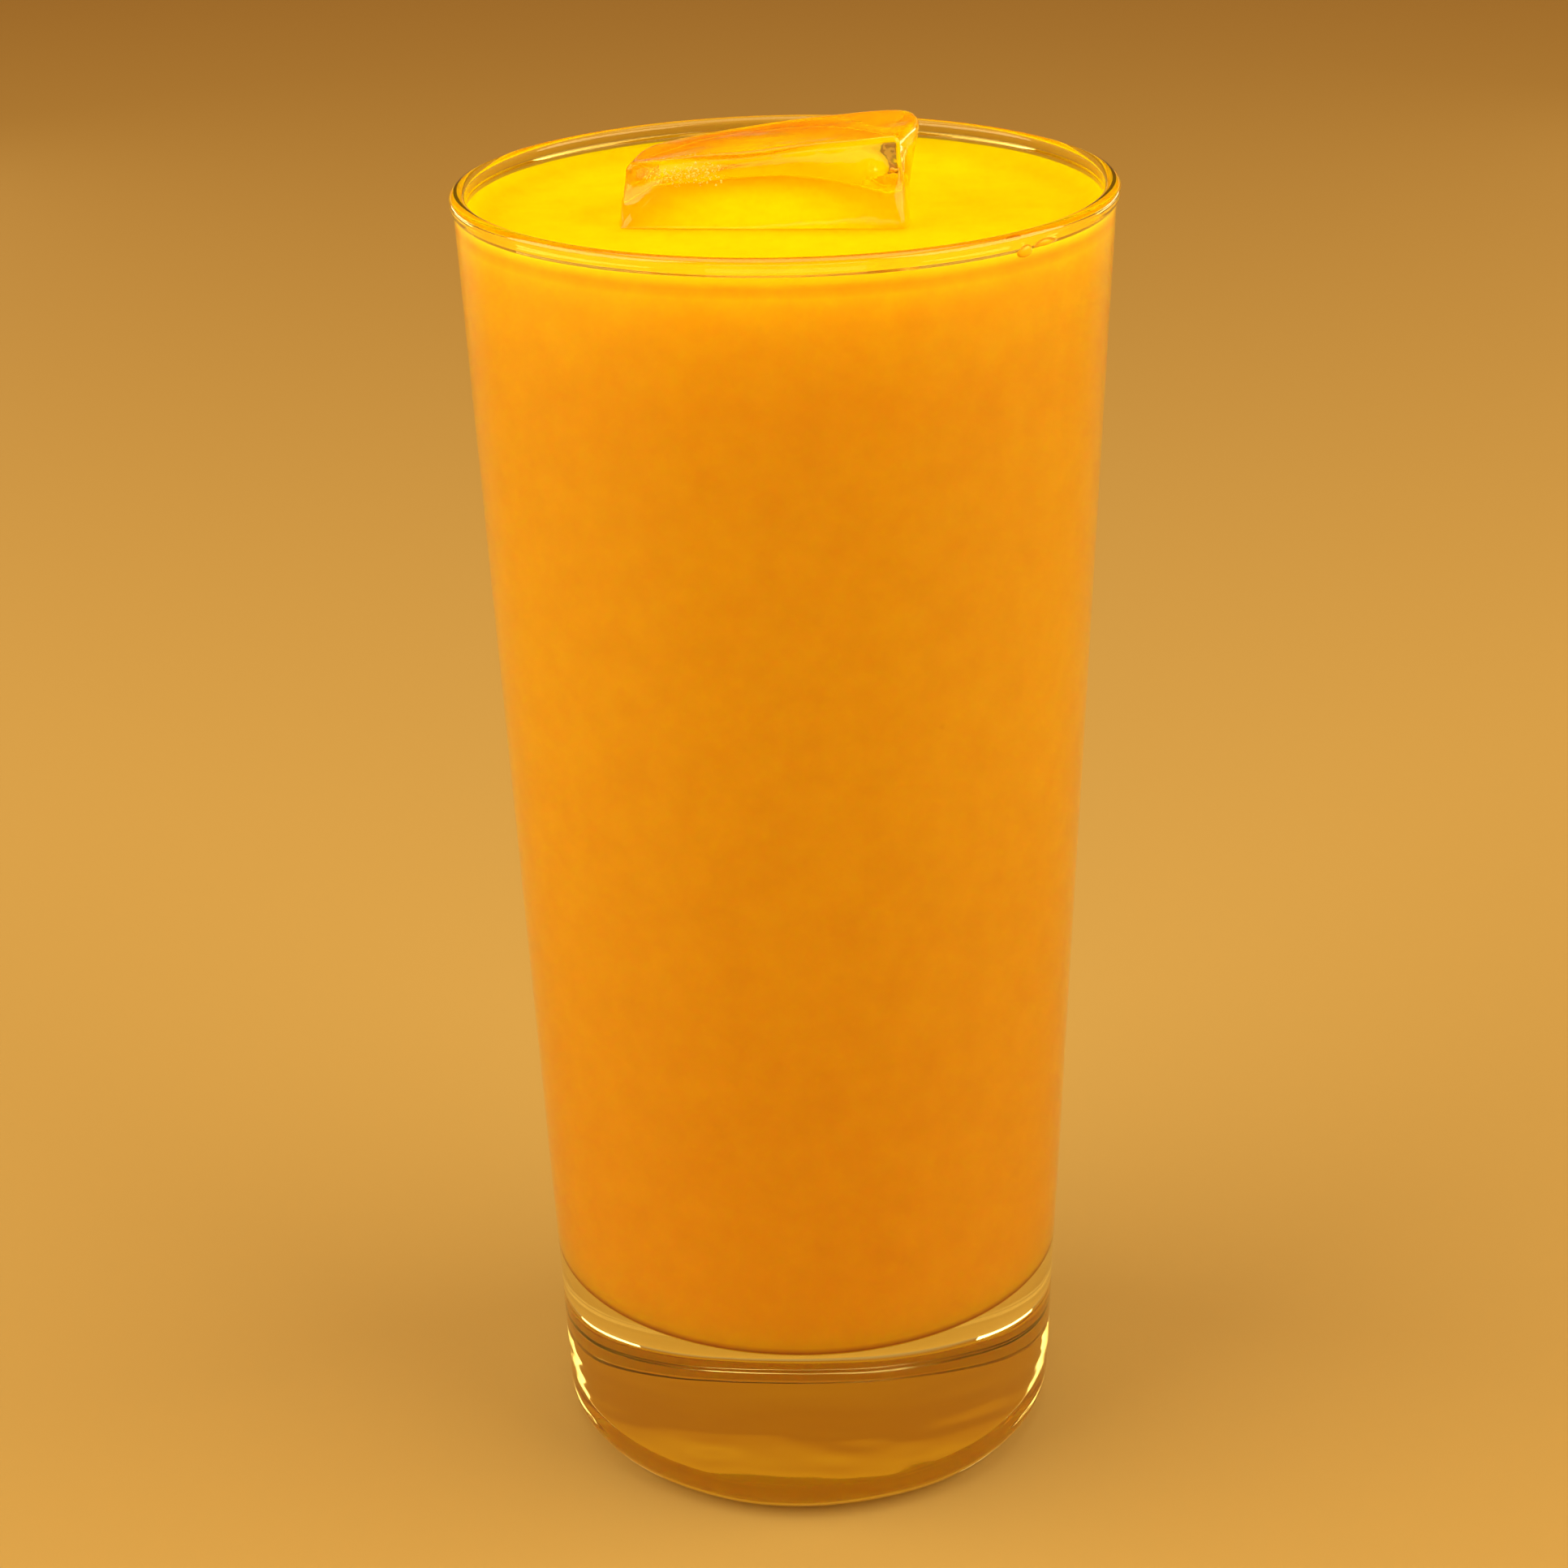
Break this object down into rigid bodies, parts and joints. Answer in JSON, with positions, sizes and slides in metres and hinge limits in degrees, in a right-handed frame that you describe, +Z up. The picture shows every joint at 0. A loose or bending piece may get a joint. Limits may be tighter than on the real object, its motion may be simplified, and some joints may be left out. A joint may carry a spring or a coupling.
{
  "type": "glass of mango lassi",
  "caption": "Tall tapered clear glass with a low collar at the lip and a thick base, filled almost to the lip with mango lassi, a slab of clear ice floating in it.",
  "frame": {"origin": "centre of the foot, on the surface the glass stands on", "axes": "+Z up along the glass's axis; the side seen in the picture faces -Y, with +X to its right"},
  "size_m": [0.071, 0.071, 0.1563],
  "materials": {
    "glass": "clear fire-polished soda-lime glass",
    "lassi": "opaque creamy yellow-orange drink, softly glossy",
    "ice": "clear melting ice with a few trapped bubbles"
  },
  "bodies": {
    "root": {"glass": "glass", "lassi": "lassi", "ice_block": "ice"}
  },
  "joints": []
}
